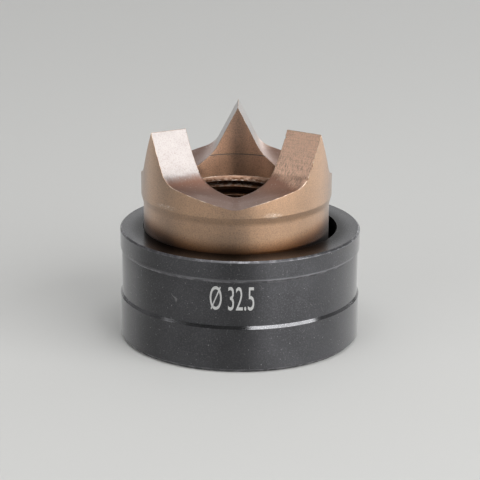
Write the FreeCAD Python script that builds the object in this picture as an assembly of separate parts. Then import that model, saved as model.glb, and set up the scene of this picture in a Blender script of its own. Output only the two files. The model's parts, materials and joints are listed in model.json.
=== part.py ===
"""Knockout punch: a three-pointed slug-splitting punch standing in its round die.

Millimetres, +Z up, origin at the centre of the die's underside.
"""
import FreeCAD
import Part
import math
import os

Vector = FreeCAD.Vector

CENTRE = Vector(0, 0, 0)
UP = Vector(0, 0, 1)

# The hole that the pair cuts, and the draw stud that pulls them together
hole_diameter = 32.5
die_clearance = 0.36
stud_diameter = 19.05
stud_clearance = 0.4

# Die body
die_diameter = 41.1
die_height = 19.3
die_floor_thickness = 6.8
die_rim_chamfer = 0.3
die_base_chamfer = 0.6
cutting_land_height = 5.0
slug_relief = 0.4
cavity_corner_radius = 0.6
stud_hole_chamfer = 0.6

# Shallow grip groove round the die, where the size is marked
groove_depth = 0.29
groove_below_rim = 3.4
groove_width = 7.8
groove_lower_slope = 0.5

# Punch, from its back face upwards: slim body, slope, and cutting land up to the tips
body_length = 18.45
land_height = 12.3
relief_depth = 0.42
relief_slope_height = 1.6
back_chamfer = 0.6

# Hole through the punch: thread for the stud, and a wider counterbore down from the crown
thread_depth = 0.775
thread_back_chamfer = 0.8
counterbore_clearance = 0.225
counterbore_depth = 12.2

# Crown: level knife edges along the radius, with a valley between each two teeth
tooth_count = 3
first_tooth_angle = 89.25
flank_angle = 27.6
valley_depth = 11.0
valley_rise_angle = 14.8
root_radius_at_rim = 3.9
root_radius_at_bore = 8.4
valley_radius = 4.0

# The punch stands in the die pushed to its left side, with this much room left there
side_gap = 0.11

# Worked out from the sizes above
hole_radius = hole_diameter / 2
die_radius = die_diameter / 2
die_bore_radius = hole_radius + die_clearance
stud_hole_radius = stud_diameter / 2 + stud_clearance
body_radius = hole_radius - relief_depth
thread_crest_radius = stud_diameter / 2 - thread_depth
counterbore_radius = stud_diameter / 2 + counterbore_clearance
back_z = die_floor_thickness
land_bottom_z = back_z + body_length
tip_z = land_bottom_z + land_height
punch_x = side_gap - (die_bore_radius - body_radius)
pitch_angle = 360.0 / tooth_count

# How wide a valley's cutter is, to reach past the far side of the blank
valley_reach = 3 * hole_radius

# How far round from the knife edge to the valley's middle the root lies, at the rim and at the bore
ROOT_SHARE_AT_RIM = 1 / 4
ROOT_SHARE_AT_BORE = 1 / 2

# Extra length of the blank above the tips, and of each cutter beyond the blank
SPARE = 2.0
# How far from a line or plane a point may lie and still count as on it
NEAR = 0.001


def at(r, z):
    """A point of a turned section: radius and height."""
    return Vector(r, 0, z)


def turned(edges):
    """The solid that a closed section makes when it is turned round the Z axis."""
    return Part.Face(Part.Wire(edges)).revolve(CENTRE, UP, 360)


def lines(points):
    """Straight edges from each point to the next."""
    return [Part.LineSegment(a, b).toShape() for a, b in zip(points, points[1:])]


def die_shape():
    """Round die: cutting bore, relieved cavity for the slug, and a hole for the draw stud."""
    relief_radius = die_bore_radius + slug_relief
    relief_top = die_height - cutting_land_height
    groove_radius = die_radius - groove_depth
    groove_top = die_height - groove_below_rim
    groove_bottom = groove_top - groove_width
    corner = cavity_corner_radius
    corner_centre = at(relief_radius - corner, die_floor_thickness + corner)
    corner_start = at(relief_radius, die_floor_thickness + corner)
    corner_end = at(relief_radius - corner, die_floor_thickness)
    corner_middle = corner_centre + at(corner, -corner) * math.sqrt(0.5)

    section = [
        corner_end,
        at(stud_hole_radius + stud_hole_chamfer, die_floor_thickness),
        at(stud_hole_radius, die_floor_thickness - stud_hole_chamfer),
        at(stud_hole_radius, stud_hole_chamfer),
        at(stud_hole_radius + stud_hole_chamfer, 0),
        at(die_radius - die_base_chamfer, 0),
        at(die_radius, die_base_chamfer),
        at(die_radius, groove_bottom - groove_lower_slope),
        at(groove_radius, groove_bottom),
        at(groove_radius, groove_top - groove_depth),
        at(die_radius, groove_top),
        at(die_radius, die_height - die_rim_chamfer),
        at(die_radius - die_rim_chamfer, die_height),
        at(die_bore_radius, die_height),
        at(die_bore_radius, relief_top),
        at(relief_radius, relief_top - slug_relief),
        corner_start,
    ]
    corner_arc = Part.Arc(corner_start, corner_middle, corner_end).toShape()
    return turned(lines(section) + [corner_arc])


def punch_blank():
    """The punch as turned, before its crown is cut, with spare length above the tips."""
    top = tip_z + SPARE
    counterbore_bottom = tip_z - counterbore_depth
    thread_top = counterbore_bottom - (counterbore_radius - thread_crest_radius)
    section = [
        at(thread_crest_radius, back_z + thread_back_chamfer),
        at(thread_crest_radius + thread_back_chamfer, back_z),
        at(body_radius - back_chamfer, back_z),
        at(body_radius, back_z + back_chamfer),
        at(body_radius, land_bottom_z - relief_slope_height),
        at(hole_radius, land_bottom_z),
        at(hole_radius, top),
        at(counterbore_radius, top),
        at(counterbore_radius, counterbore_bottom),
        at(thread_crest_radius, thread_top),
        at(thread_crest_radius, back_z + thread_back_chamfer),
    ]
    return turned(lines(section))


def flank_cutter():
    """The space on one side of a knife edge that lies along +X at height zero.

    Its flank falls from the edge towards +Y. Its floor falls on to the middle of the valley.
    The root between them opens from the rim to the bore.
    """
    middle = math.radians(pitch_angle / 2)
    rise = math.tan(math.radians(valley_rise_angle))
    flank_slope = -1 / math.tan(math.radians(flank_angle))
    floor_slope_x = rise * math.sin(middle)
    floor_slope_y = -rise * math.cos(middle)

    def root_at(x):
        """Where flank and floor meet, at a distance along the edge."""
        y = (floor_slope_x * x - valley_depth) / (flank_slope - floor_slope_y)
        return Vector(x, y, flank_slope * y)

    start = root_at(-hole_radius)
    run = root_at(hole_radius + SPARE) - start
    flank_top = Vector(start.x, SPARE / flank_slope, SPARE)
    far_y = start.y + valley_reach
    floor_end = Vector(start.x, far_y, start.z + floor_slope_y * (far_y - start.y))
    floor_top = Vector(start.x, far_y, SPARE)
    outline = Part.makePolygon([start, flank_top, floor_top, floor_end, start])
    wedge = Part.Face(outline).extrude(run)

    root = [edge for edge in wedge.Edges if lies_along(edge, start, run)][0]
    rim_x = hole_radius * math.cos(middle * ROOT_SHARE_AT_RIM)
    bore_x = counterbore_radius * math.cos(middle * ROOT_SHARE_AT_BORE)
    growth = (root_radius_at_bore - root_radius_at_rim) / (rim_x - bore_x)
    radii = [root_radius_at_rim + growth * (rim_x - vertex.X) for vertex in root.Vertexes]
    return wedge.makeFillet(radii[0], radii[1], [root])


def lies_along(edge, start, run):
    """True for the straight edge that goes from a point along a run."""
    return all((vertex.Point - start).cross(run).Length < NEAR * run.Length for vertex in edge.Vertexes)


def lies_in_middle(edge, across):
    """True for an edge below the knife edges that stays in the valley's middle plane."""
    first, last = edge.ParameterRange
    points = [edge.valueAt(first + share * (last - first)) for share in (0, 0.25, 0.5, 0.75, 1)]
    return all(abs(point.dot(across)) < NEAR and point.z < 0 for point in points)


def valley_cutter():
    """The space between two neighbouring teeth, the first of them along +X."""
    left = flank_cutter()
    right = left.mirror(CENTRE, Vector(0, 1, 0))
    right.rotate(CENTRE, UP, pitch_angle)
    space = left.common(right)
    middle = math.radians(pitch_angle / 2)
    across = Vector(-math.sin(middle), math.cos(middle), 0)
    bottom = [edge for edge in space.Edges if lies_in_middle(edge, across)]
    return space.makeFillet(valley_radius, bottom)


def punch_shape():
    """The punch: turned blank with a valley cut between each two teeth."""
    punch = punch_blank()
    cutter = valley_cutter()
    cutter.translate(Vector(0, 0, tip_z))
    for tooth in range(tooth_count):
        valley = cutter.copy()
        valley.rotate(CENTRE, UP, first_tooth_angle + tooth * pitch_angle)
        punch = punch.cut(valley)
    punch.translate(Vector(punch_x, 0, 0))
    return punch.removeSplitter()


os.makedirs("parts", exist_ok=True)
for name, shape in (("die", die_shape()), ("punch", punch_shape())):
    solid = shape.Solids[0]
    print(name, "solids", len(shape.Solids), "valid", shape.isValid(),
          "volume", round(solid.Volume, 1), "faces", len(solid.Faces))
    solid.exportStep("parts/" + name + ".step")
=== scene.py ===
"""Knockout punch standing teeth up in its die: the looks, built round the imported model."""
import json
import math

import bpy
from mathutils import Matrix, Vector
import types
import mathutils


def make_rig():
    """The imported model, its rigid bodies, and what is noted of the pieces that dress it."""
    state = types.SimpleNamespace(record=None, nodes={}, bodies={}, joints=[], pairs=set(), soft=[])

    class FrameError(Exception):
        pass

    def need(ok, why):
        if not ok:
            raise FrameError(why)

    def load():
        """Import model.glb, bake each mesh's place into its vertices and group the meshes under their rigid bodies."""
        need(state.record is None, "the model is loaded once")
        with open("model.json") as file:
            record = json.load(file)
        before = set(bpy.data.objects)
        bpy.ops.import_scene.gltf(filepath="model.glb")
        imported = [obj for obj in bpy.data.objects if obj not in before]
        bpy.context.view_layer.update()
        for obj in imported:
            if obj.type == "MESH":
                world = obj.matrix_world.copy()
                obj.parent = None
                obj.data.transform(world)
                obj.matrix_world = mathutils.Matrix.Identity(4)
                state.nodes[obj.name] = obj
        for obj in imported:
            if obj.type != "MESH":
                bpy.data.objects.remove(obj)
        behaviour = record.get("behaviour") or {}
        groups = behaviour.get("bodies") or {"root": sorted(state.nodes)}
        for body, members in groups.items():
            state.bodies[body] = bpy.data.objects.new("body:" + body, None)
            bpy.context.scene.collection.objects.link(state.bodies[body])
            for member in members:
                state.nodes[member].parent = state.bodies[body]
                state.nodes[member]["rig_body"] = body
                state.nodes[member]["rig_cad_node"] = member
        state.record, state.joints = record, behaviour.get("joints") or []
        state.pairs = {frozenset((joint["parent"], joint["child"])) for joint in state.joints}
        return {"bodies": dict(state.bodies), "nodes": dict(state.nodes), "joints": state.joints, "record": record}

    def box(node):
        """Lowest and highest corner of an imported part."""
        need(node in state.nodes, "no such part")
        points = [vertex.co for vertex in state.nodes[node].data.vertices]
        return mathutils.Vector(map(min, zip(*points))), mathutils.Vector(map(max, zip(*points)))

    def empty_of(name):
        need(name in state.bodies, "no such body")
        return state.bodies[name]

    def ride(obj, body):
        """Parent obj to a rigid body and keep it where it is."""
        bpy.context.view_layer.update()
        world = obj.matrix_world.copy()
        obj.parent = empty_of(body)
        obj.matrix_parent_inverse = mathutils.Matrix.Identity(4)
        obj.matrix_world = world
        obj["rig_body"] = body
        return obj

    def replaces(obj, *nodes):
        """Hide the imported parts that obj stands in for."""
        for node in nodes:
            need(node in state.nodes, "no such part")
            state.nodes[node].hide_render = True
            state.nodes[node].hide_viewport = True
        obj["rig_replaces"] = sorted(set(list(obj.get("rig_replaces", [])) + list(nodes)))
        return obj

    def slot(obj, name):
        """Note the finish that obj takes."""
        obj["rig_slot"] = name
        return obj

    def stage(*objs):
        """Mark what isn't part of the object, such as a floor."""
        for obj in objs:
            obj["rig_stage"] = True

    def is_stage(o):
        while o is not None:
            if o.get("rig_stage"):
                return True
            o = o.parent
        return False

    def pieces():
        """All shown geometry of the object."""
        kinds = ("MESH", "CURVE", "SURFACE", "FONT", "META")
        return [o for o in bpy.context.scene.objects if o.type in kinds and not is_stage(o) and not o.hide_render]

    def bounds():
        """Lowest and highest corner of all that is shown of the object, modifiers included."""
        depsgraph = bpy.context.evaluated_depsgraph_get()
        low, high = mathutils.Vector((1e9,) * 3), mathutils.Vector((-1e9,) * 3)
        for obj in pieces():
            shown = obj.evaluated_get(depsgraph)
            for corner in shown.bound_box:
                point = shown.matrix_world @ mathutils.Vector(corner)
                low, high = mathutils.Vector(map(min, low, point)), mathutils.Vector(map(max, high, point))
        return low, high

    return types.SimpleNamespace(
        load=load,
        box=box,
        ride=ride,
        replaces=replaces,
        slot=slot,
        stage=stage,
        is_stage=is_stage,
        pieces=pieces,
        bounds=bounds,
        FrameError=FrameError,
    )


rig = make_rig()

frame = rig.load()
CAD_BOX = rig.bounds()

bl_info = {
    "name": "Knockout punch",
    "version": (1, 0, 0),
    "blender": (4, 5, 0),
    "location": "3D View > Sidebar > Knockout punch",
    "description": "Dresses a knockout punch and its die, and sets up the studio round them",
    "category": "Object",
}

MM = 0.001


def linear(hex_colour):
    """The linear red, green and blue of an sRGB hex colour."""
    shares = (int(hex_colour[i:i + 2], 16) / 255 for i in (1, 3, 5))
    return tuple(s / 12.92 if s <= 0.04045 else ((s + 0.055) / 1.055) ** 2.4 for s in shares)


def mount(name):
    """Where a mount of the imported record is, and its radius, in metres."""
    found = next(m for m in frame["record"]["mounts"] if m["name"] == name)
    return Vector(found["pos_m"]), found["dims"]["r_mm"] * MM


# Sizes of the solids, by which the looks are laid on the right faces
COUNTERBORE_RADIUS = 9.75 * MM
LAND_HEIGHT = 12.3 * MM
GROOVE_BELOW_RIM = 3.4 * MM
FLANK_ANGLE = math.radians(27.6)
FIRST_TOOTH_ANGLE = 89.25
TOOTH_COUNT = 3
TOOTH_AZIMUTHS = [
    math.radians(FIRST_TOOTH_ANGLE + tooth * 360 / TOOTH_COUNT) for tooth in range(TOOTH_COUNT)]

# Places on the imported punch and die
THREAD_MIDDLE, THREAD_CREST = mount("draw_thread")
PUNCH_AXIS = Vector((THREAD_MIDDLE.x, THREAD_MIDDLE.y, 0))
DIE_AXIS = Vector((0, 0, 0))
PUNCH_LOW, PUNCH_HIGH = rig.box("punch")
DIE_LOW, DIE_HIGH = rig.box("die")
LAND_RADIUS = (PUNCH_HIGH.x - PUNCH_LOW.x) / 2
LAND_FOOT = PUNCH_HIGH.z - LAND_HEIGHT
GROOVE_TOP = DIE_HIGH.z - GROOVE_BELOW_RIM
RIGHT_TOOTH = TOOTH_AZIMUTHS[2]

# Within this radius lie all the faces inside the die, and none of the others
INSIDE_RADIUS = LAND_RADIUS + 1 * MM

# Height of the painted highlight line round the die, and radius out to which painted shade darkens its top
HIGHLIGHT_LINE = GROOVE_TOP + 0.12 * MM
SHADED_RADIUS = LAND_RADIUS + 0.3 * MM

# Heights in the punch's bore: a groove of the thread at the back, and the ends of the cut for the thread
THREAD_GROOVE = 24.25 * MM
THREAD_FOOT = PUNCH_LOW.z - 2 * MM
THREAD_TOP = 26.2 * MM
# The thread is torn more and more between these two, and the countersink is coated above the next two
TORN_FROM = 23.4 * MM
TORN_ALL = 24.3 * MM
COATED_FROM = 25.4 * MM
COATED_ALL = 25.75 * MM

# Nicks in the right tooth's edges, outside and at the bore: millimetres below the tip, and radius
EDGE_NICKS = ((3.1, 0.12), (4.3, 0.16), (4.9, 0.26), (5.4, 0.18), (6.2, 0.13), (6.9, 0.2), (7.7, 0.14))
BORE_NICKS = ((1.25, 0.3),)

# Scuffs on the punch's land: middle, half length, half height, and how strongly each shows
SCUFFS = (
    (Vector((5.3, -15.0, 25.45)) * MM, 1.6 * MM, 0.48 * MM, 1.0),
    (Vector((-12.3, -11.4, 25.8)) * MM, 2.3 * MM, 0.42 * MM, 0.5),
)

# Material slots of the punch, and of the die
TURNED, MILLED, WORN, BORED, THREADED = range(5)
PLAIN, RUBBED, SLOPE, INSIDE, TOP = range(5)

# How many degrees an edge turns by to be broken, and for its shading to stay crisp
PUNCH_BROKEN = 28
PUNCH_CRISP = 28
DIE_BROKEN = 40
DIE_CRISP = 20

# How many steps a cutter takes in one turn
TURN_STEPS = 96

# How far apart points may lie that are merged, and how far off its place a point still counts as on it
MERGED = 0.001 * MM
TOLERANCE = 0.01 * MM

# Height of a figure in Blender's own typeface, against its size setting
FIGURE_SHARE = 0.714

# How closely the figures are cut across, how far ahead of the die they start, and how thick they end
FIGURE_CUTS = 0.4 * MM
FIGURES_AHEAD = 1 * MM
MARK_THICKNESS = 0.05 * MM

# The softboxes stand at one distance from a place in the object's middle. For each: how many degrees it
# stands round from the front to the right, and upwards, then its width and height in metres
LAMP_DISTANCE = 0.7
LAMP_TARGET = Vector((0, 0, 20 * MM))
LAMPS = {
    "key": (47.5, 30, 0.76, 0.49),
    "low_key": (52, 4, 0.87, 0.1),
    "fill": (-48, 17, 0.76, 0.3),
    "rim_right": (108, 1.2, 0.62, 0.05),
    "rim_left": (-119, 1.2, 0.28, 0.05),
    "back_right": (153, 7.5, 0.3, 0.06),
    "back_left": (-153, 7.5, 0.3, 0.06),
    "back": (180, 17, 0.8, 0.3),
    "top": (0, 75, 0.42, 0.4),
}

# The camera's place, its dip and roll in degrees, and its focal length and sensor's width in millimetres
CAMERA_PLACE = (0, -337.2 * MM, 122.9 * MM)
CAMERA_DIP = 17.504
CAMERA_ROLL = 0.43
CAMERA_LENS = 154.15
CAMERA_SENSOR = 36

# The floor's width in metres, and how far it lies under the die, so that the two faces aren't in one plane
FLOOR_WIDTH = 8
FLOOR_GAP = 0.01 * MM

# Settings of the nodes that mix two colours, tint one with the other, and multiply two numbers
BLEND = {"data_type": "RGBA"}
TINT = {"data_type": "RGBA", "blend_type": "MULTIPLY"}
PRODUCT = {"operation": "MULTIPLY"}


def length(name, description, default, top=0.05):
    """A size in metres, shown with a length unit."""
    return bpy.props.FloatProperty(name=name, description=description, default=default,
                                   min=0.0, max=top, precision=5, subtype="DISTANCE", unit="LENGTH")


def colour(name, description, default):
    """A colour, given as sRGB hex."""
    return bpy.props.FloatVectorProperty(name=name, description=description, default=linear(default),
                                         size=3, min=0.0, max=1.0, subtype="COLOR")


def number(name, description, default, top=1.0):
    """A plain number from nothing upwards."""
    return bpy.props.FloatProperty(name=name, description=description, default=default, min=0.0, max=top)


class KnockoutPunchSizes(bpy.types.PropertyGroup):
    """Sizes and colours of the punch"""
    edge_break: length("Edge break", "Width of the worn land along each sharp edge of the punch", 0.11 * MM)
    thread_pitch: length("Thread pitch", "Rise of the draw stud's thread in one turn", 1.5875 * MM)
    thread_root: length("Thread root radius", "Radius to the bottom of the thread's groove", 9.525 * MM)
    turning_line: length("Turning line", "Height of the fine line that the boring tool left", 29.24 * MM)
    coating: colour("Coating", "Hard coating on the turned outside of the punch", "#A17D5C")
    milled_coating: colour("Milled coating", "The same coating on the milled flanks and valleys", "#959596")
    bored_coating: colour("Bore's coating", "The same coating inside the counterbore", "#B3896C")
    # The right tooth's colour holds painted light: brighter and browner than the others
    right_lit_coating: colour("Right tooth's coating", "The browner coating on the right tooth", "#E6BA9C")
    roughness: number("Coating roughness", "How far the coating spreads a reflection", 0.42)


class KnockoutDieSizes(bpy.types.PropertyGroup):
    """Sizes and colours of the die and its marking"""
    edge_break: length("Edge break", "Width of the rubbed land along each sharp edge of the die", 0.06 * MM)
    figures: bpy.props.StringProperty(
        name="Figures", description="The size marked on the die", default="\u00d8 32.5")
    figure_height: length("Figure height", "Height of the figures that give the hole's size", 4.17 * MM)
    figure_width: number("Figure width", "Width of the figures against a plain face of type", 0.46)
    figure_left: bpy.props.FloatProperty(
        name="Figures' left end", description="Where the figures start, counted to the right from the front",
        default=-5.0 * MM, precision=5, subtype="DISTANCE", unit="LENGTH")
    figure_foot: length("Figures' foot", "Height of the line that the figures stand on", 10.87 * MM)
    oxide: colour("Black oxide", "Oxide finish on the die", "#464648")
    smooth_oxide: colour("Smooth oxide", "The same finish on the finely turned slopes", "#767678")
    mark: colour("Mark", "The laser mark on the die", "#B9B9B8")
    roughness: number("Oxide roughness", "How far the oxide spreads a reflection", 0.42)


class KnockoutStageSizes(bpy.types.PropertyGroup):
    """Colour of the floor, and brightness of the lamps and the studio's walls"""
    floor: colour("Floor", "Matt studio floor", "#D6D6D4")
    key: number("Key light", "Radiance of the large soft light on the right", 2.9, 20.0)
    low_key: number("Low key strip", "Radiance of the low strip light under the key", 8.0, 20.0)
    fill: number("Fill light", "Radiance of the soft light on the left", 2.0, 20.0)
    top: number("Top light", "Radiance of the soft light overhead", 2.3, 20.0)
    back: number("Back light", "Radiance of the low soft light behind", 0.65, 20.0)
    rim_right: number("Right rim light", "Radiance of the low light at the right", 17.0, 20.0)
    rim_left: number("Left rim light", "Radiance of the low light at the left", 9.0, 20.0)
    back_right: number("Back right light", "Radiance of the low light behind at the right", 4.5, 20.0)
    back_left: number("Back left light", "Radiance of the low light behind at the left", 1.5, 20.0)
    front: number("Front wall", "Brightness of the studio's wall behind the camera", 0.08)
    far: number("Far wall", "Brightness of the studio's far wall", 0.27)
    ceiling: number("Ceiling", "Brightness of the studio's ceiling", 0.5)


# Selecting and shaping


def only(*pieces):
    """Selects these objects alone, the first of them active."""
    if bpy.context.object and bpy.context.object.mode != "OBJECT":
        bpy.ops.object.mode_set(mode="OBJECT")
    bpy.ops.object.select_all(action="DESELECT")
    for piece in pieces:
        piece.select_set(True)
    bpy.context.view_layer.objects.active = pieces[0]


def added(name):
    """Names the object that an operator has just added."""
    piece = bpy.context.object
    piece.name = name
    piece.data.name = name
    return piece


def pick(piece, kind, test):
    """In edit mode, selects just those vertices or edges that pass the test."""
    bpy.ops.object.mode_set(mode="EDIT")
    bpy.ops.mesh.select_mode(type=kind)
    bpy.ops.mesh.select_all(action="DESELECT")
    bpy.ops.object.mode_set(mode="OBJECT")
    for item in {"VERT": piece.data.vertices, "EDGE": piece.data.edges}[kind]:
        item.select = test(item)
    bpy.ops.object.mode_set(mode="EDIT")


def in_plane(piece, edge, x):
    """True for an edge that stays at this x."""
    return all(abs(piece.data.vertices[i].co.x - x) < TOLERANCE for i in edge.vertices)


def reach(piece, face, axis):
    """How far a face's farthest vertex is from an upright axis."""
    return max((piece.data.vertices[i].co - axis).xy.length for i in face.vertices)


def apply_modifier(piece, kind, **settings):
    """Adds a modifier with its settings and applies it."""
    only(piece)
    modifier = piece.modifiers.new(kind.title(), kind)
    for name, value in settings.items():
        setattr(modifier, name, value)
    bpy.ops.object.modifier_apply(modifier=modifier.name)


def merged_copy(node, name):
    """A new object with a CAD node's mesh, its loose triangles merged and flat faces made whole."""
    piece = bpy.data.objects.new(name, frame["nodes"][node].data.copy())
    bpy.context.scene.collection.objects.link(piece)
    piece.data.name = name
    piece.data.materials.clear()
    only(piece)
    bpy.ops.mesh.customdata_custom_splitnormals_clear()
    bpy.ops.object.mode_set(mode="EDIT")
    bpy.ops.mesh.select_all(action="SELECT")
    bpy.ops.mesh.remove_doubles(threshold=MERGED)
    bpy.ops.mesh.dissolve_limited(angle_limit=math.radians(0.2))
    bpy.ops.object.mode_set(mode="OBJECT")
    return piece


def give_slots(piece, *materials):
    """Fills the object's material slots in this order."""
    piece.data.materials.clear()
    for material in materials:
        piece.data.materials.append(material)


def break_edges(piece, width, angle, slot):
    """Breaks each edge that turns by more than the angle, and gives its narrow land this material slot."""
    apply_modifier(piece, "BEVEL", width=width, segments=2, limit_method="ANGLE",
                   angle_limit=math.radians(angle), offset_type="WIDTH", use_clamp_overlap=False,
                   material=slot)


def finish_shading(piece, angle, crisp=None):
    """Smooth shading led by the largest faces. Corners stay crisp past the angle, and where crisp says."""
    only(piece)
    bpy.ops.object.shade_smooth_by_angle(angle=math.radians(angle))
    if crisp:
        pick(piece, "EDGE", crisp)
        bpy.ops.mesh.mark_sharp()
        bpy.ops.object.mode_set(mode="OBJECT")
    apply_modifier(piece, "WEIGHTED_NORMAL", keep_sharp=True, weight=50)


def along_land_foot(piece, edge):
    """True for an edge round the foot of the punch's cutting land."""
    ends = [piece.data.vertices[i].co for i in edge.vertices]
    return all(abs(end.z - LAND_FOOT) < 2 * TOLERANCE for end in ends)


# Materials


def add_node(tree, kind, settings=None, sockets=None, output=0):
    """Adds a shader node and gives back one of its outputs.

    settings are the node's own values, sockets the values or links of its inputs.
    """
    node = tree.nodes.new("ShaderNode" + kind)
    for name, value in (settings or {}).items():
        setattr(node, name, value)
    for name, value in (sockets or {}).items():
        if isinstance(value, bpy.types.NodeSocket):
            tree.links.new(value, node.inputs[name])
        else:
            node.inputs[name].default_value = value
    return node.outputs[output] if node.outputs else None


def new_material(name):
    """An empty node material, its tree, and the Object coordinates in it."""
    material = bpy.data.materials.new(name)
    material.use_nodes = True
    tree = material.node_tree
    tree.nodes.clear()
    return material, tree, add_node(tree, "TexCoord", output="Object")


def shade(values, factor=1.0):
    """A shader colour, made darker or lighter by a factor."""
    return (*(min(1.0, value * factor) for value in values), 1.0)


def toned(values, factor):
    """A colour made darker or lighter by a factor, for a material that shades it further."""
    return shade(values, factor)[:3]


def distance_from_level(tree, place, level):
    """How far above or below a level the surface lies."""
    height = add_node(tree, "SeparateXYZ", {}, {"Vector": place}, "Z")
    above = add_node(tree, "Math", {"operation": "SUBTRACT"}, {0: height, 1: level})
    return add_node(tree, "Math", {"operation": "ABSOLUTE"}, {0: above})


def studio_matt(name, values):
    """Matt paint on a studio floor: no gloss, only the faint unevenness of a roller."""
    material, tree, place = new_material(name)
    nap = add_node(tree, "TexNoise", {}, {"Vector": place, "Scale": 1 / (4 * MM), "Detail": 2.0})
    normal = add_node(tree, "Bump", {}, {"Height": nap, "Distance": 0.01 * MM})
    shader = add_node(tree, "BsdfPrincipled", {}, {
        "Base Color": shade(values), "Roughness": 0.9, "Specular IOR Level": 0.1, "Normal": normal})
    add_node(tree, "OutputMaterial", {}, {"Surface": shader})
    return material


def turned_coating(name, values, roughness, lay=0.8, scuffs=(), shade_height=None):
    """Nitride hard coating on turned and blasted tool steel, with a trace of oil: satin bronze, finely
    peppered and faintly clouded. lay is how strongly the lathe's rings draw reflections out up and down.
    Each scuff is a place where handling has left short bright rub marks. Painted shade, warm dark brown
    under a thinner coat, darkens it most a little below the height given, and less above and below."""
    material, tree, place = new_material(name)
    clouds = add_node(tree, "TexNoise", {}, {"Vector": place, "Scale": 1 / (7 * MM), "Detail": 3.0})
    # Blasting pits are really near 0.05 mm across; they are drawn near 0.2 mm so that they show
    pits = add_node(tree, "TexNoise", {}, {
        "Vector": place, "Scale": 1 / (0.21 * MM), "Detail": 3.0, "Roughness": 0.65})
    # Turning rings are really 0.1 mm apart; they are drawn 0.25 mm apart
    along = add_node(tree, "Mapping", {}, {"Vector": place, "Scale": (0.02, 0.02, 1)})
    rings = add_node(tree, "TexNoise", {}, {"Vector": along, "Scale": 1 / (0.25 * MM), "Detail": 2.0})
    cloudy = add_node(tree, "MapRange", {}, {"Value": clouds, "From Min": 0.35, "From Max": 0.65})
    tone = add_node(tree, "Mix", BLEND, {
        "Factor": cloudy, "A": shade(values, 0.9), "B": shade(values, 1.08)}, "Result")
    pitted = add_node(tree, "MapRange", {}, {
        "Value": pits, "From Min": 0.48, "From Max": 0.66, "To Max": 0.9})
    tone = add_node(tree, "Mix", BLEND, {"Factor": pitted, "A": tone, "B": shade(values, 0.58)}, "Result")
    peppered = add_node(tree, "MapRange", {}, {
        "Value": pits, "From Min": 0.42, "From Max": 0.3, "To Max": 0.45})
    tone = add_node(tree, "Mix", BLEND, {"Factor": peppered, "A": tone, "B": shade(values, 1.5)}, "Result")
    ringed = add_node(tree, "MapRange", {}, {
        "Value": rings, "From Min": 0.45, "From Max": 0.7, "To Max": 0.1})
    tone = add_node(tree, "Mix", BLEND, {"Factor": ringed, "A": tone, "B": shade(values, 1.3)}, "Result")
    dashes = add_node(tree, "Mapping", {}, {
        "Vector": place, "Rotation": (0, math.radians(14), 0), "Scale": (0.25, 0.25, 1)})
    dashes = add_node(tree, "TexNoise", {}, {"Vector": dashes, "Scale": 1 / (0.13 * MM), "Detail": 2.0})
    rubbed = add_node(tree, "MapRange", {}, {
        "Value": dashes, "From Min": 0.54, "From Max": 0.66, "To Min": 0.12})
    for centre, half_length, half_height, strength in scuffs:
        spread = add_node(tree, "Mapping", {"vector_type": "TEXTURE"}, {
            "Vector": place, "Location": centre, "Scale": (half_length, half_length, half_height)})
        away = add_node(tree, "VectorMath", {"operation": "LENGTH"}, {0: spread}, "Value")
        near = add_node(tree, "MapRange", {}, {
            "Value": away, "From Min": 1.2, "From Max": 0.3, "To Max": strength})
        amount = add_node(tree, "Math", PRODUCT, {0: near, 1: rubbed})
        tone = add_node(tree, "Mix", BLEND, {
            "Factor": amount, "A": tone, "B": shade(linear("#F3E9DE"))}, "Result")
    unshaded = 1.0
    if shade_height:
        depth = add_node(tree, "SeparateXYZ", {}, {"Vector": place}, "Y")
        # The painted shade stands lower at the front
        middle = add_node(tree, "MapRange", {}, {
            "Value": depth, "From Min": -16 * MM, "From Max": -8 * MM, "To Min": shade_height - 1.9 * MM,
            "To Max": shade_height - 0.4 * MM})
        away = distance_from_level(tree, place, middle)
        unshaded = add_node(tree, "MapRange", {"interpolation_type": "SMOOTHSTEP"}, {
            "Value": away, "From Min": 0.8 * MM, "From Max": 4.1 * MM, "To Min": 0.06})
        # Painted shade: a little of it warms the coating, and more hides it under dark brown
        warm_shade = add_node(tree, "Mix", TINT, {
            "Factor": 1.0, "A": tone, "B": shade(linear("#FFD89A"))}, "Result")
        tone = add_node(tree, "Mix", BLEND, {"Factor": unshaded, "A": warm_shade, "B": tone}, "Result")
        tone = add_node(tree, "Mix", BLEND, {
            "Factor": unshaded, "A": shade(linear("#301704")), "B": tone}, "Result")
    gloss = add_node(tree, "MapRange", {}, {
        "Value": clouds, "From Min": 0.3, "From Max": 0.7, "To Min": roughness - 0.03,
        "To Max": roughness + 0.04})
    normal = add_node(tree, "Bump", {}, {"Height": rings, "Distance": 0.003 * MM})
    normal = add_node(tree, "Bump", {}, {"Height": pits, "Distance": 0.04 * MM, "Normal": normal})
    # Where the shade is painted, the coat is thinned with it
    shader = add_node(tree, "BsdfPrincipled", {}, {
        "Base Color": tone, "Roughness": gloss, "Metallic": 1.0, "Anisotropic": lay,
        "Anisotropic Rotation": 0.25, "Coat Weight": unshaded, "Coat Roughness": 0.4, "Coat IOR": 1.75,
        "Sheen Weight": 0.1, "Normal": normal})
    add_node(tree, "OutputMaterial", {}, {"Surface": shader})
    return material


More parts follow.
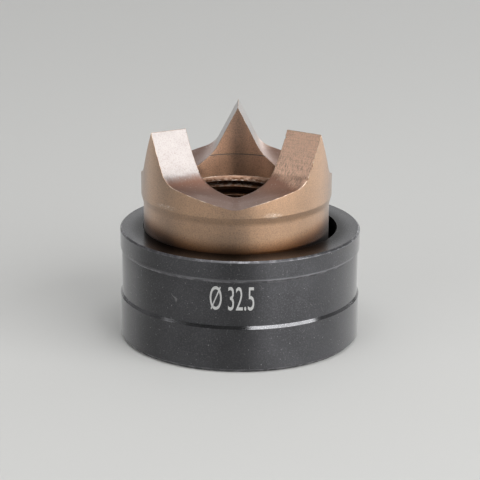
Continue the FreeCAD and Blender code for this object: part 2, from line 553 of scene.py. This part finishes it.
def milled_coating(name, values, right_lit_values, roughness):
    """The same coating on the milled crown: paler and pinker. The right tooth is painted brighter and
    browner, as painted light. Cutter scratches run down the flanks, most of them on the right tooth, and
    a browner streaky band, partly painted shade, lies where a flank turns into its valley."""
    material, tree, place = new_material(name)
    path = add_node(tree, "UVMap", {"uv_map": "tooth_path"})
    down = add_node(tree, "SeparateXYZ", {}, {"Vector": path}, "Y")
    right = add_node(tree, "SeparateXYZ", {}, {"Vector": place}, "X")
    clouds = add_node(tree, "TexNoise", {}, {
        "Vector": place, "Scale": 1 / (2 * MM), "Detail": 4.0, "Roughness": 0.6})
    pits = add_node(tree, "TexNoise", {}, {
        "Vector": place, "Scale": 1 / (0.22 * MM), "Detail": 3.0, "Roughness": 0.65})
    # Cutter scratches are really some 0.05 mm wide; they are drawn at 0.12 mm
    downwards = add_node(tree, "Mapping", {}, {"Vector": path, "Scale": (1, 0.08, 1)})
    scratches = add_node(tree, "TexNoise", {}, {
        "Vector": downwards, "Scale": 1 / (0.12 * MM), "Detail": 3.0, "Roughness": 0.7})
    # Chatter marks lie some 0.3 mm apart, across the scratches
    across = add_node(tree, "Mapping", {}, {"Vector": path, "Scale": (0.1, 1, 1)})
    chatter = add_node(tree, "TexNoise", {}, {"Vector": across, "Scale": 1 / (0.3 * MM), "Detail": 2.0})
    # The right tooth is painted brighter and browner, as painted light on that side.
    # Its scratches are deeper, from a blunter cutter
    right_lit_and_scratched = add_node(tree, "MapRange", {}, {
        "Value": right, "From Min": 2 * MM, "From Max": 5 * MM, "To Min": 0.12, "To Max": 1.0})
    tone = add_node(tree, "Mix", BLEND, {
        "Factor": right_lit_and_scratched, "A": shade(values), "B": shade(right_lit_values)}, "Result")
    cloudy = add_node(tree, "MapRange", {}, {"Value": clouds, "From Min": 0.4, "From Max": 0.65})
    mottled = add_node(tree, "MapRange", {}, {
        "Value": down, "From Min": 8 * MM, "From Max": 13 * MM, "To Min": 0.1, "To Max": 0.55})
    cloudy = add_node(tree, "Math", PRODUCT, {0: cloudy, 1: mottled})
    tone = add_node(tree, "Mix", TINT, {
        "Factor": cloudy, "A": tone, "B": shade(linear("#8A7468"))}, "Result")
    pitted = add_node(tree, "MapRange", {}, {
        "Value": pits, "From Min": 0.5, "From Max": 0.75, "To Max": 0.6})
    tone = add_node(tree, "Mix", TINT, {
        "Factor": pitted, "A": tone, "B": shade(linear("#A08B7E"))}, "Result")
    low = add_node(tree, "MapRange", {}, {
        "Value": down, "From Min": 3 * MM, "From Max": 8 * MM, "To Min": 0.35, "To Max": 1.0})
    depth = add_node(tree, "Math", PRODUCT, {0: right_lit_and_scratched, 1: low})
    scratched = add_node(tree, "MapRange", {}, {
        "Value": scratches, "From Min": 0.5, "From Max": 0.65, "To Max": 0.85})
    scratched = add_node(tree, "Math", PRODUCT, {0: scratched, 1: depth})
    tone = add_node(tree, "Mix", BLEND, {
        "Factor": scratched, "A": tone, "B": shade(linear("#5C3E30"))}, "Result")
    crossed = add_node(tree, "MapRange", {}, {
        "Value": chatter, "From Min": 0.5, "From Max": 0.75, "To Max": 0.35})
    crossed = add_node(tree, "Math", PRODUCT, {0: crossed, 1: right_lit_and_scratched})
    tone = add_node(tree, "Mix", BLEND, {
        "Factor": crossed, "A": tone, "B": shade(linear("#7C5A48"))}, "Result")
    # The root band, partly painted shade, starts in streaks some way down the flank,
    # and eases off a little over the valley floor
    starts = add_node(tree, "MapRange", {}, {
        "Value": scratches, "From Min": 0.3, "From Max": 0.7, "To Min": 11.8 * MM, "To Max": 10.5 * MM})
    out = add_node(tree, "SeparateXYZ", {}, {"Vector": path}, "X")
    lower = add_node(tree, "MapRange", {}, {
        "Value": out, "From Min": 10 * MM, "From Max": 16 * MM, "To Min": -0.6 * MM, "To Max": 3.4 * MM})
    lower = add_node(tree, "Math", PRODUCT, {0: lower, 1: right_lit_and_scratched})
    starts = add_node(tree, "Math", {"operation": "ADD"}, {0: starts, 1: lower})
    entered = add_node(tree, "Math", {"operation": "SUBTRACT"}, {0: down, 1: starts})
    entered = add_node(tree, "MapRange", {}, {
        "Value": entered, "From Min": -0.9 * MM, "From Max": 1.2 * MM})
    left_again = add_node(tree, "MapRange", {}, {
        "Value": down, "From Min": 16.0 * MM, "From Max": 13.0 * MM, "To Min": 0.78, "To Max": 0.95})
    root_band_and_shade = add_node(tree, "Math", PRODUCT, {0: entered, 1: left_again})
    tone = add_node(tree, "Mix", BLEND, {
        "Factor": root_band_and_shade, "A": tone, "B": shade(linear("#8E5A3C"))}, "Result")
    specks = add_node(tree, "TexNoise", {}, {"Vector": place, "Scale": 1 / (0.35 * MM), "Detail": 1.0})
    specked = add_node(tree, "MapRange", {}, {"Value": specks, "From Min": 0.65, "From Max": 0.76})
    specked = add_node(tree, "Math", PRODUCT, {0: specked, 1: mottled})
    tone = add_node(tree, "Mix", BLEND, {
        "Factor": specked, "A": tone, "B": shade(linear("#C4B6AE"))}, "Result")
    gloss = add_node(tree, "MapRange", {}, {
        "Value": scratches, "From Min": 0.3, "From Max": 0.7, "To Min": roughness - 0.06,
        "To Max": roughness + 0.03})
    gloss = add_node(tree, "Math", {"operation": "MULTIPLY_ADD"}, {0: mottled, 1: 0.35, 2: gloss})
    deep = add_node(tree, "Math", PRODUCT, {0: scratches, 1: depth})
    normal = add_node(tree, "Bump", {}, {"Height": deep, "Distance": 0.014 * MM})
    normal = add_node(tree, "Bump", {}, {"Height": pits, "Distance": 0.012 * MM, "Normal": normal})
    shader = add_node(tree, "BsdfPrincipled", {}, {
        "Base Color": tone, "Roughness": gloss, "Metallic": 1.0, "Coat Weight": 1.0, "Coat Roughness": 0.42,
        "Coat IOR": 1.9, "Normal": normal})
    add_node(tree, "OutputMaterial", {}, {"Surface": shader})
    return material


def worn_edge(name, values, bright, roughness=0.3):
    """The broken edge where handling has rubbed a finish thin: steel shows in uneven lengths."""
    material, tree, place = new_material(name)
    wear = add_node(tree, "TexNoise", {}, {"Vector": place, "Scale": 1 / (1.1 * MM), "Detail": 5.0})
    chips = add_node(tree, "TexNoise", {}, {"Vector": place, "Scale": 1 / (0.2 * MM), "Detail": 2.0})
    rubbed = add_node(tree, "MapRange", {}, {"Value": wear, "From Min": 0.45, "From Max": 0.62})
    tone = add_node(tree, "Mix", BLEND, {
        "Factor": rubbed, "A": shade(values), "B": shade(bright)}, "Result")
    chipped = add_node(tree, "MapRange", {}, {
        "Value": chips, "From Min": 0.5, "From Max": 0.7, "To Max": 0.5})
    tone = add_node(tree, "Mix", BLEND, {"Factor": chipped, "A": tone, "B": shade(values, 0.7)}, "Result")
    gloss = add_node(tree, "MapRange", {}, {
        "Value": rubbed, "To Min": roughness + 0.1, "To Max": roughness})
    normal = add_node(tree, "Bump", {}, {"Height": chips, "Distance": 0.02 * MM})
    shader = add_node(tree, "BsdfPrincipled", {}, {
        "Base Color": tone, "Roughness": gloss, "Metallic": 1.0, "Normal": normal})
    add_node(tree, "OutputMaterial", {}, {"Surface": shader})
    return material


def tapped_thread(name, values, bright, countersink):
    """Tapped thread: dull dark bronze, its darkness painted shade deep in the bore, torn to bare grey steel
    where the tap started, at the foot of a countersink that kept its coating."""
    material, tree, place = new_material(name)
    height = add_node(tree, "SeparateXYZ", {}, {"Vector": place}, "Z")
    flattened = add_node(tree, "Mapping", {}, {"Vector": place, "Scale": (0.4, 0.4, 1)})
    tears = add_node(tree, "TexNoise", {}, {
        "Vector": flattened, "Scale": 1 / (0.3 * MM), "Detail": 4.0, "Roughness": 0.7})
    start = add_node(tree, "MapRange", {}, {
        "Value": height, "From Min": TORN_FROM, "From Max": TORN_ALL, "To Min": 0.12, "To Max": 1.0})
    uneven = add_node(tree, "Math", {"operation": "MULTIPLY_ADD"}, {0: tears, 1: 1.2 * MM, 2: height})
    above = add_node(tree, "MapRange", {}, {
        "Value": uneven, "From Min": COATED_FROM, "From Max": COATED_ALL})
    torn = add_node(tree, "MapRange", {}, {"Value": tears, "From Min": 0.48, "From Max": 0.62})
    torn = add_node(tree, "Math", PRODUCT, {0: torn, 1: start})
    tone = add_node(tree, "Mix", BLEND, {"Factor": torn, "A": shade(values), "B": shade(bright)}, "Result")
    tone = add_node(tree, "Mix", BLEND, {"Factor": above, "A": tone, "B": shade(countersink)}, "Result")
    gloss = add_node(tree, "MapRange", {}, {"Value": torn, "To Min": 0.4, "To Max": 0.32})
    normal = add_node(tree, "Bump", {}, {"Height": tears, "Distance": 0.05 * MM})
    shader = add_node(tree, "BsdfPrincipled", {}, {
        "Base Color": tone, "Roughness": gloss, "Metallic": 1.0, "Normal": normal})
    add_node(tree, "OutputMaterial", {}, {"Surface": shader})
    return material


def black_oxide(name, values, roughness, lay=0.8, dirt=1.0, rubbed=None, shade_radius=None, glance=1.0):
    """Black oxide on turned steel, oiled: near black satin with cloudy smears, pale dust specks and a few
    hair scratches. lay is how strongly the lathe's rings draw reflections out up and down, and dirt how
    much dust lies on it. rubbed is the height of a paler line painted round it: a painted highlight along
    the edge there. Painted shade darkens its top out to the radius given. glance is how much of its
    edge-on shine is left."""
    material, tree, place = new_material(name)
    clouds = add_node(tree, "TexNoise", {}, {"Vector": place, "Scale": 1 / (6 * MM), "Detail": 4.0})
    # The oxide's grain is really finer than 0.05 mm; it is drawn near 0.2 mm so that it shows
    grit = add_node(tree, "TexNoise", {}, {"Vector": place, "Scale": 1 / (0.22 * MM), "Detail": 3.0})
    cloudy = add_node(tree, "MapRange", {}, {"Value": clouds, "From Min": 0.35, "From Max": 0.7})
    tone = add_node(tree, "Mix", BLEND, {
        "Factor": cloudy, "A": shade(values, 0.92), "B": shade(values, 1.2)}, "Result")
    gritty = add_node(tree, "MapRange", {}, {
        "Value": grit, "From Min": 0.48, "From Max": 0.7, "To Max": 0.55})
    tone = add_node(tree, "Mix", BLEND, {"Factor": gritty, "A": tone, "B": shade(values, 1.9)}, "Result")
    # A painted highlight: a paler line along the groove's top edge
    if rubbed:
        away = distance_from_level(tree, place, rubbed)
        line = add_node(tree, "MapRange", {}, {"Value": away, "From Min": 0.26 * MM, "From Max": 0.06 * MM})
        patchy = add_node(tree, "MapRange", {}, {
            "Value": clouds, "From Min": 0.3, "From Max": 0.6, "To Min": 0.3, "To Max": 1.0})
        line = add_node(tree, "Math", PRODUCT, {0: line, 1: patchy})
        tone = add_node(tree, "Mix", BLEND, {"Factor": line, "A": tone, "B": shade(values, 2.6)}, "Result")
    if shade_radius:
        # The painted shade reaches a little further to the front, and ends softly
        level = add_node(tree, "Mapping", {}, {
            "Vector": place, "Location": (0, 1.2 * MM, 0), "Scale": (1, 1, 0)})
        out = add_node(tree, "VectorMath", {"operation": "LENGTH"}, {0: level}, "Value")
        unshaded_top = add_node(tree, "MapRange", {"interpolation_type": "SMOOTHSTEP"}, {
            "Value": out, "From Min": shade_radius, "From Max": shade_radius + 3.2 * MM})
        tone = add_node(tree, "Mix", BLEND, {"Factor": unshaded_top, "A": shade(values, 0.08), "B": tone}, "Result")
    # Dust is really under 0.1 mm; it is drawn near 0.2 mm
    motes = add_node(tree, "TexNoise", {}, {"Vector": place, "Scale": 1 / (0.3 * MM), "Detail": 1.0})
    dusty = add_node(tree, "MapRange", {}, {
        "Value": motes, "From Min": 0.715, "From Max": 0.78, "To Max": 0.5 * dirt})
    tone = add_node(tree, "Mix", BLEND, {
        "Factor": dusty, "A": tone, "B": shade(linear("#A6A6A6"))}, "Result")
    # Hair scratches follow the borders of wide bent cells, and show only here and there
    bend = add_node(tree, "TexNoise", {}, {"Vector": place, "Scale": 1 / (3 * MM), "Detail": 1.0}, "Color")
    bent = add_node(tree, "VectorMath", {"operation": "MULTIPLY_ADD"}, {
        0: bend, 1: (2.5 * MM, 2.5 * MM, 2.5 * MM), 2: place})
    border = add_node(tree, "TexVoronoi", {"feature": "DISTANCE_TO_EDGE"}, {
        "Vector": bent, "Scale": 1 / (5 * MM)}, "Distance")
    hair = add_node(tree, "MapRange", {}, {
        "Value": border, "From Min": 0.008, "From Max": 0.002, "To Max": 0.5 * dirt})
    shown = add_node(tree, "TexNoise", {}, {"Vector": place, "Scale": 1 / (2 * MM), "Detail": 2.0})
    shown = add_node(tree, "MapRange", {}, {"Value": shown, "From Min": 0.62, "From Max": 0.68})
    hair = add_node(tree, "Math", PRODUCT, {0: hair, 1: shown})
    tone = add_node(tree, "Mix", BLEND, {
        "Factor": hair, "A": tone, "B": shade(linear("#8C8C8C"))}, "Result")
    gloss = add_node(tree, "MapRange", {}, {
        "Value": clouds, "From Min": 0.3, "From Max": 0.7, "To Min": roughness - 0.03,
        "To Max": roughness + 0.05})
    normal = add_node(tree, "Bump", {}, {"Height": grit, "Distance": 0.02 * roughness * MM})
    shader = add_node(tree, "BsdfPrincipled", {}, {
        "Base Color": tone, "Roughness": gloss, "Metallic": 1.0, "Anisotropic": lay,
        "Anisotropic Rotation": 0.25, "Sheen Weight": lay, "Sheen Roughness": 0.35,
        "Specular Tint": shade((glance,) * 3), "Normal": normal})
    add_node(tree, "OutputMaterial", {}, {"Surface": shader})
    return material


def laser_mark(name, values):
    """Oxide burnt off by a marking laser: flat pale grey, finely peppered where oxide is left."""
    material, tree, place = new_material(name)
    # The laser's spots are really near 0.05 mm across; the pepper is drawn near 0.2 mm
    pepper = add_node(tree, "TexNoise", {}, {"Vector": place, "Scale": 1 / (0.18 * MM), "Detail": 2.0})
    left = add_node(tree, "MapRange", {}, {
        "Value": pepper, "From Min": 0.42, "From Max": 0.7, "To Max": 0.4})
    tone = add_node(tree, "Mix", BLEND, {
        "Factor": left, "A": shade(values), "B": shade(values, 0.5)}, "Result")
    normal = add_node(tree, "Bump", {}, {"Height": pepper, "Distance": 0.01 * MM})
    shader = add_node(tree, "BsdfPrincipled", {}, {
        "Base Color": tone, "Roughness": 0.62, "Metallic": 0.35, "Normal": normal})
    add_node(tree, "OutputMaterial", {}, {"Surface": shader})
    return material


# Pieces


def helical_cutter(root, crest, pitch, groove_z, low, high):
    """A V-shaped ridge wound round the punch's axis, which cuts the thread's groove.

    groove_z is the height of the groove's middle at the back of the bore. The ridge reaches at least from
    low to high.
    """
    spare = 0.3 * MM
    crest_break = 0.1 * MM
    shoulder = crest + crest_break
    # An inch thread's flanks slope by 30 degrees, and its root is flat for an eighth of the pitch
    root_flat = pitch / 8
    flank_slope = math.tan(math.radians(30))
    mouth = root_flat + 2 * (root - shoulder) * flank_slope
    # The winding starts on the right, a quarter of a turn before the back
    start = groove_z - pitch / 4
    start -= math.ceil((start - low) / pitch) * pitch
    turns = math.ceil((high - start) / pitch)
    bpy.ops.mesh.primitive_plane_add(size=1, location=(PUNCH_AXIS.x, PUNCH_AXIS.y, start),
                                     rotation=(math.radians(90), 0, 0))
    cutter = added("thread_cutter")
    cutter.scale = (root - shoulder, mouth, 1)
    bpy.ops.object.transform_apply(location=False, rotation=True, scale=True)
    pick(cutter, "VERT", lambda vertex: True)
    bpy.ops.transform.translate(value=((root + shoulder) / 2, 0, 0))
    pick(cutter, "VERT", lambda vertex: vertex.co.x > (root + shoulder) / 2)
    bpy.ops.transform.resize(value=(1, 1, root_flat / mouth))
    # A flare at the groove's mouth breaks the thread's crests
    pick(cutter, "EDGE", lambda edge: in_plane(cutter, edge, shoulder))
    bpy.ops.mesh.extrude_region_move(TRANSFORM_OT_translate={"value": (-crest_break - spare, 0, 0)})
    bpy.ops.transform.resize(value=(1, 1, (mouth + 2 * (crest_break + spare)) / mouth))
    pick(cutter, "EDGE", lambda edge: in_plane(cutter, edge, shoulder))
    bpy.ops.mesh.dissolve_edges(use_verts=False)
    apply_modifier(cutter, "SCREW", axis="Z", angle=math.radians(360), screw_offset=pitch,
                   iterations=turns, steps=TURN_STEPS, render_steps=TURN_STEPS, use_smooth_shade=False)
    pick(cutter, "VERT", lambda vertex: True)
    bpy.ops.mesh.remove_doubles(threshold=MERGED)
    # The winding's two ends are open, with six sides each
    bpy.ops.mesh.fill_holes(sides=6)
    bpy.ops.mesh.select_all(action="SELECT")
    bpy.ops.mesh.normals_make_consistent(inside=False)
    bpy.ops.object.mode_set(mode="OBJECT")
    bpy.ops.object.transform_apply(location=True, rotation=False, scale=False)
    return cutter


def turning_line_cutter(height):
    """A thin ring that cuts the boring tool's fine line into the counterbore's wall."""
    half_thickness = 0.1 * MM
    inset = 0.03 * MM
    bpy.ops.mesh.primitive_torus_add(
        location=(PUNCH_AXIS.x, PUNCH_AXIS.y, height), major_radius=COUNTERBORE_RADIUS - inset,
        minor_radius=half_thickness, major_segments=TURN_STEPS, minor_segments=8)
    cutter = added("turning_line_cutter")
    bpy.ops.object.transform_apply(location=True, rotation=True, scale=True)
    return cutter


def flank_edge(azimuth, radius, down):
    """A point on the edge of a tooth's front flank: where it meets the round wall of this radius."""
    aside = down * math.tan(FLANK_ANGLE)
    along = math.sqrt(radius ** 2 - aside ** 2)
    place = Vector((math.cos(azimuth), math.sin(azimuth), 0)) * along
    place += Vector((math.sin(azimuth), -math.cos(azimuth), 0)) * aside
    return PUNCH_AXIS + place + Vector((0, 0, PUNCH_HIGH.z - down))


def nick_cutter(radius, nicks):
    """Small lumps, each turned its own way, that chip the right tooth's edge at this radius."""
    lumps = []
    for turn, (down, size) in enumerate(nicks):
        bpy.ops.mesh.primitive_ico_sphere_add(
            subdivisions=1, radius=size * MM, location=flank_edge(RIGHT_TOOTH, radius, down * MM),
            rotation=(turn, 2 * turn, 0.5 * turn))
        lumps.append(added("nick"))
    only(*lumps)
    if len(lumps) > 1:
        bpy.ops.object.join()
    bpy.ops.object.transform_apply(location=True, rotation=True, scale=True)
    return bpy.context.object


def cut(piece, cutter, material):
    """Takes the cutter's space out of the piece, and gives the cut this material."""
    give_slots(cutter, material)
    apply_modifier(piece, "BOOLEAN", operation="DIFFERENCE", object=cutter, solver="EXACT",
                   material_mode="TRANSFER")
    bpy.data.objects.remove(cutter)


def lay_tooth_path(piece):
    """A UV map that runs out along the nearest tooth's edge, and down its flank to the valley."""
    layer = piece.data.uv_layers.new(name="tooth_path")
    edges = [Vector((math.cos(azimuth), math.sin(azimuth), 0)) for azimuth in TOOTH_AZIMUTHS]
    places = [vertex.co - PUNCH_AXIS for vertex in piece.data.vertices]
    for face in piece.data.polygons:
        middle = face.center - PUNCH_AXIS
        edge = max(edges, key=middle.dot)
        for corner in face.loop_indices:
            place = places[piece.data.loops[corner].vertex_index]
            out = place.dot(edge)
            side = abs(place.x * edge.y - place.y * edge.x)
            layer.data[corner].uv = (out, PUNCH_HIGH.z - place.z + side)


def cross_cut(piece, spacing):
    """Cuts a flat shape across at even places, so that it can follow a curve."""
    left = min(vertex.co.x for vertex in piece.data.vertices)
    right = max(vertex.co.x for vertex in piece.data.vertices)
    pick(piece, "VERT", lambda vertex: True)
    for step in range(1, math.ceil((right - left) / spacing)):
        bpy.ops.mesh.select_all(action="SELECT")
        bpy.ops.mesh.bisect(plane_co=(left + step * spacing, 0, 0), plane_no=(1, 0, 0))
    bpy.ops.object.mode_set(mode="OBJECT")


def punch_slot(punch, face):
    """The material slot of a face of the punch, by how far out it reaches and the way it faces."""
    far = reach(punch, face, PUNCH_AXIS)
    # Flanks and valleys face upwards outside the counterbore, and the countersink inside it
    upwards = face.normal.z > 0.2
    if far < THREAD_CREST + TOLERANCE:
        return THREADED
    if far < COUNTERBORE_RADIUS + TOLERANCE:
        return THREADED if upwards else BORED
    return MILLED if upwards else TURNED


def die_slot(die, face):
    """The material slot of a face of the die, by how far out it reaches and how it leans."""
    # The chamfers and the groove's upper slope lean by 45 degrees, the groove's lower slope by 30
    lean = abs(face.normal.z)
    if reach(die, face, DIE_AXIS) < INSIDE_RADIUS:
        return INSIDE
    if 0.6 < lean < 0.9:
        return RUBBED
    if 0.2 < lean < 0.6:
        return SLOPE
    return TOP if face.normal.z > 0.9 else PLAIN


class KNOCKOUT_OT_punch(bpy.types.Operator):
    """Builds the three-pointed punch: worn edges, draw stud thread and turning marks"""
    bl_idname = "object.knockout_punch"
    bl_label = "Punch"
    bl_options = {"REGISTER", "UNDO"}

    def execute(self, context):
        sizes = context.scene.knockout_punch
        # The turned coating darkens with painted shade where the punch goes down into the die
        turned = turned_coating("coated_steel_turned", sizes.coating, sizes.roughness,
                                scuffs=SCUFFS, shade_height=DIE_HIGH.z)
        milled = milled_coating("coated_steel_milled", sizes.milled_coating, sizes.right_lit_coating,
                                sizes.roughness - 0.06)
        worn = worn_edge("coated_steel_worn_edge", linear("#A78B77"), linear("#DCC9B6"))
        bored = turned_coating("coated_steel_bored", sizes.bored_coating, sizes.roughness - 0.07, lay=1.0)
        # Near-black coating for the turning line's groove and the bore's nick: painted shade in them
        painted_shade_coating = turned_coating("coated_steel_painted_shade", toned(sizes.coating, 0.25), roughness=0.5)
        # The thread's dark bronze is painted shade deep in the bore
        threaded = tapped_thread("tapped_thread", linear("#5A3F2E"), linear("#90867E"), linear("#A3836F"))
        punch = merged_copy("punch", "punch_body")
        give_slots(punch, turned, milled, worn, bored, threaded)
        for face in punch.data.polygons:
            face.material_index = punch_slot(punch, face)
        break_edges(punch, sizes.edge_break, PUNCH_BROKEN, WORN)
        thread = helical_cutter(sizes.thread_root, THREAD_CREST, sizes.thread_pitch, THREAD_GROOVE,
                                THREAD_FOOT, THREAD_TOP)
        cut(punch, thread, threaded)
        # The groove and the nick are darkened by painted shade
        cut(punch, turning_line_cutter(sizes.turning_line), painted_shade_coating)
        cut(punch, nick_cutter(LAND_RADIUS, EDGE_NICKS), worn)
        cut(punch, nick_cutter(COUNTERBORE_RADIUS, BORE_NICKS), painted_shade_coating)
        finish_shading(punch, PUNCH_CRISP, lambda edge: along_land_foot(punch, edge))
        lay_tooth_path(punch)
        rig.ride(punch, "root")
        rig.replaces(punch, "punch")
        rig.slot(punch, "coated_tool_steel")
        return {"FINISHED"}


class KNOCKOUT_OT_die(bpy.types.Operator):
    """Builds the black round die with rubbed edges"""
    bl_idname = "object.knockout_die"
    bl_label = "Die"
    bl_options = {"REGISTER", "UNDO"}

    def execute(self, context):
        sizes = context.scene.knockout_die
        # The oxide carries a painted highlight line at the groove's top edge
        oxide = black_oxide("black_oxide_steel", sizes.oxide, sizes.roughness, rubbed=HIGHLIGHT_LINE)
        rubbed = worn_edge("black_oxide_rubbed_edge", toned(sizes.oxide, 2.2), linear("#8E8D91"))
        slopes = black_oxide("black_oxide_smooth", sizes.smooth_oxide, roughness=0.13, lay=0.0, dirt=0.3)
        # The ground top carries painted shade round the punch
        ground = black_oxide("black_oxide_ground", toned(sizes.smooth_oxide, 0.8), roughness=0.2, lay=0.0,
                             shade_radius=SHADED_RADIUS, glance=0.7)
        # The die's bore is coloured near black: painted shade inside it
        inside = black_oxide("black_oxide_bore_painted_shade", toned(sizes.oxide, 0.3), sizes.roughness, lay=0.0, dirt=0.4)
        die = merged_copy("die", "die_body")
        give_slots(die, oxide, rubbed, slopes, inside, ground)
        for face in die.data.polygons:
            face.material_index = die_slot(die, face)
        break_edges(die, sizes.edge_break, DIE_BROKEN, RUBBED)
        finish_shading(die, DIE_CRISP)
        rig.ride(die, "root")
        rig.replaces(die, "die")
        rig.slot(die, "blackened_tool_steel")
        return {"FINISHED"}


class KNOCKOUT_OT_marking(bpy.types.Operator):
    """Marks the hole's size on the die's groove, as a marking laser does"""
    bl_idname = "object.knockout_marking"
    bl_label = "Size marking"
    bl_options = {"REGISTER", "UNDO"}

    def execute(self, context):
        sizes = context.scene.knockout_die
        die = bpy.data.objects["die_body"]
        bpy.ops.object.text_add(location=(0, 0, 0))
        marking = added("size_marking")
        marking.data.body = sizes.figures
        marking.data.size = sizes.figure_height / FIGURE_SHARE
        marking.data.resolution_u = 6
        bpy.ops.object.convert(target="MESH")
        marking = added("size_marking")
        marking.scale = (sizes.figure_width, 1, 1)
        marking.rotation_euler = (math.radians(90), 0, 0)
        marking.location = (sizes.figure_left, DIE_LOW.y - FIGURES_AHEAD, sizes.figure_foot)
        bpy.ops.object.transform_apply(location=True, rotation=True, scale=True)
        cross_cut(marking, FIGURE_CUTS)
        apply_modifier(marking, "SHRINKWRAP", target=die, wrap_method="PROJECT", use_project_x=False,
                       use_project_y=True, use_project_z=False, use_negative_direction=True,
                       use_positive_direction=True, offset=0.0)
        apply_modifier(marking, "SOLIDIFY", thickness=MARK_THICKNESS, offset=0.0, use_even_offset=True)
        give_slots(marking, laser_mark("laser_mark", sizes.mark))
        only(marking)
        bpy.ops.object.shade_flat()
        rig.ride(marking, "root")
        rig.slot(marking, "blackened_tool_steel")
        return {"FINISHED"}


class KNOCKOUT_OT_stage(bpy.types.Operator):
    """Sets up the pale floor, the soft studio lights and the camera"""
    bl_idname = "object.knockout_stage"
    bl_label = "Stage"
    bl_options = {"REGISTER", "UNDO"}

    def execute(self, context):
        sizes = context.scene.knockout_stage
        bpy.ops.mesh.primitive_plane_add(size=FLOOR_WIDTH, location=(0, 0, -FLOOR_GAP))
        floor = added("studio_floor")
        bpy.ops.object.transform_apply(location=True, rotation=True, scale=True)
        give_slots(floor, studio_matt("studio_matt_floor", sizes.floor))
        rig.stage(floor)

        for name, (azimuth, elevation, width, height) in LAMPS.items():
            turn = math.radians(azimuth)
            rise = math.radians(elevation)
            level = math.cos(rise)
            towards = Vector((math.sin(turn) * level, -math.cos(turn) * level, math.sin(rise)))
            bpy.ops.object.light_add(type="AREA", location=LAMP_TARGET + towards * LAMP_DISTANCE)
            lamp = bpy.context.object
            lamp.name = name + "_softbox"
            lamp.rotation_euler = towards.to_track_quat("Z", "Y").to_euler()
            lamp.data.shape = "RECTANGLE"
            lamp.data.size = width
            lamp.data.size_y = height
            lamp.data.energy = getattr(sizes, name) * math.pi * width * height

        world = bpy.data.worlds.new("studio_surround")
        world.use_nodes = True
        tree = world.node_tree
        tree.nodes.clear()
        heading = add_node(tree, "TexCoord", output="Generated")
        ahead = add_node(tree, "SeparateXYZ", {}, {"Vector": heading}, "Y")
        upwards = add_node(tree, "SeparateXYZ", {}, {"Vector": heading}, "Z")
        wall = add_node(tree, "MapRange", {}, {
            "Value": ahead, "From Min": -0.3, "From Max": 0.4, "To Min": sizes.front, "To Max": sizes.far})
        light = add_node(tree, "MapRange", {}, {
            "Value": upwards, "From Min": 0.7, "From Max": 0.9, "To Min": wall, "To Max": sizes.ceiling})
        background = add_node(tree, "Background", {}, {"Color": (1, 1, 1, 1), "Strength": light})
        add_node(tree, "OutputWorld", {}, {"Surface": background})
        context.scene.world = world

        bpy.ops.object.camera_add(location=CAMERA_PLACE)
        camera = bpy.context.object
        camera.name = "photo_camera"
        dip = Matrix.Rotation(math.radians(90 - CAMERA_DIP), 3, "X")
        roll = Matrix.Rotation(math.radians(CAMERA_ROLL), 3, "Z")
        camera.rotation_euler = (dip @ roll).to_euler()
        camera.data.sensor_width = CAMERA_SENSOR
        camera.data.lens = CAMERA_LENS
        camera.data.clip_start = 0.01
        context.scene.camera = camera
        context.scene.view_settings.view_transform = "Standard"
        return {"FINISHED"}


class KNOCKOUT_PT_panel(bpy.types.Panel):
    """Lists the pieces of the knockout punch and their sizes"""
    bl_label = "Knockout punch"
    bl_idname = "KNOCKOUT_PT_panel"
    bl_space_type = "VIEW_3D"
    bl_region_type = "UI"
    bl_category = "Knockout punch"

    def draw(self, context):
        scene = context.scene
        for operator, group in (
            (KNOCKOUT_OT_punch, scene.knockout_punch),
            (KNOCKOUT_OT_die, scene.knockout_die),
            (KNOCKOUT_OT_marking, None),
            (KNOCKOUT_OT_stage, scene.knockout_stage),
        ):
            box = self.layout.box()
            box.operator(operator.bl_idname)
            for name in group.bl_rna.properties.keys() if group else ():
                if name not in ("rna_type", "name"):
                    box.prop(group, name)


CLASSES = (
    KnockoutPunchSizes,
    KnockoutDieSizes,
    KnockoutStageSizes,
    KNOCKOUT_OT_punch,
    KNOCKOUT_OT_die,
    KNOCKOUT_OT_marking,
    KNOCKOUT_OT_stage,
    KNOCKOUT_PT_panel,
)


def register():
    """Makes the sizes, the operators and the panel known to Blender."""
    for made in CLASSES:
        bpy.utils.register_class(made)
    bpy.types.Scene.knockout_punch = bpy.props.PointerProperty(type=KnockoutPunchSizes)
    bpy.types.Scene.knockout_die = bpy.props.PointerProperty(type=KnockoutDieSizes)
    bpy.types.Scene.knockout_stage = bpy.props.PointerProperty(type=KnockoutStageSizes)


def unregister():
    """Takes back what register does."""
    del bpy.types.Scene.knockout_stage
    del bpy.types.Scene.knockout_die
    del bpy.types.Scene.knockout_punch
    for made in reversed(CLASSES):
        bpy.utils.unregister_class(made)


def main():
    """Builds everything in order, and writes the CAD's box and the visual model's."""
    register()
    bpy.ops.object.knockout_punch()
    bpy.ops.object.knockout_die()
    bpy.ops.object.knockout_marking()
    bpy.ops.object.knockout_stage()
    boxes = {"cad": [list(corner) for corner in CAD_BOX], "visual": [list(corner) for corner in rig.bounds()]}
    with open("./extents.json", "w") as out:
        json.dump(boxes, out)


if __name__ == "__main__":
    main()
